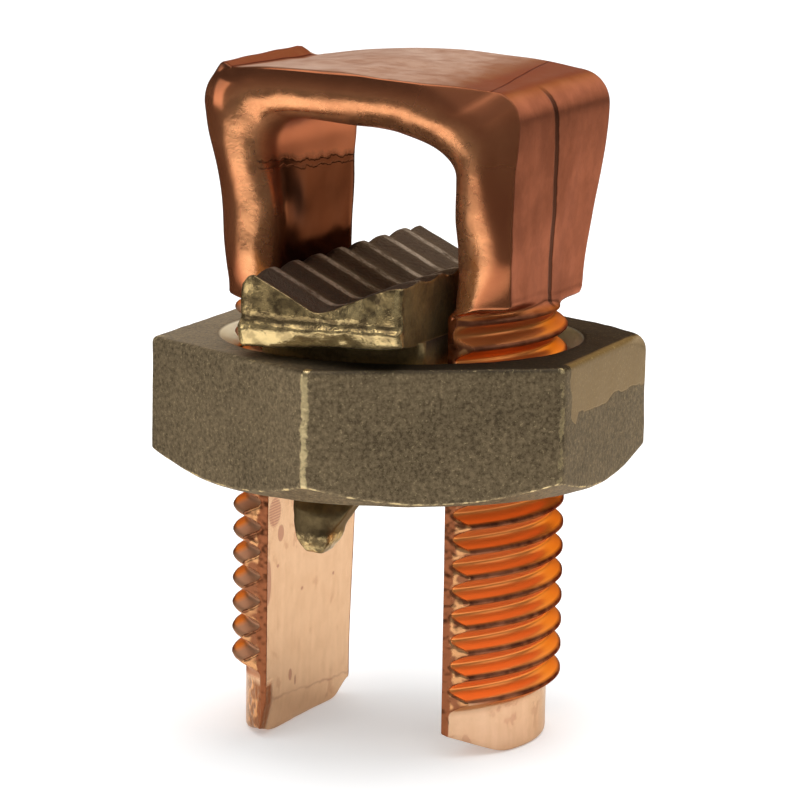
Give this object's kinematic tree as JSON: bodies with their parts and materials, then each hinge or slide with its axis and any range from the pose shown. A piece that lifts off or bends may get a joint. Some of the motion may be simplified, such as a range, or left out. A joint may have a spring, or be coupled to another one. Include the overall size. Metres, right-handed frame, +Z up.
{
  "type": "split bolt connector",
  "caption": "Split bolt wire connector: a forged arch head over slotted threaded legs, with a hexagon nut that drives a serrated bar up to clamp conductors in the window.",
  "frame": {"origin": "on the bolt axis, in the plane of the leg ends", "axes": "+Z up the bolt axis towards the head, X across the slot from leg to leg, Y along the conductors"},
  "size_m": [0.026, 0.03, 0.0404],
  "materials": {
    "copper": "forged and bright-dipped copper",
    "nut_bronze": "dull cast bronze",
    "bar_bronze": "worn cast bronze"
  },
  "bodies": {
    "bolt": {"split_bolt": "copper"},
    "bar": {"pressure_bar": "bar_bronze"},
    "nut": {"hex_nut": "nut_bronze"}
  },
  "joints": [
    {"name": "bar_slide", "type": "slide", "parent": "bolt", "child": "bar", "axis": [0, 0, 1], "range_m": [-0.01201, 0.00151]},
    {"name": "nut_turn", "type": "hinge", "parent": "bar", "child": "nut", "pos_m": [0, 0, 0.02], "axis": [0, 0, 1], "range_deg": [-2880, 360]}
  ],
  "couplings": [
    {"joint": "bar_slide", "follows": "nut_turn", "m_per_rad": 0.00023873}
  ]
}
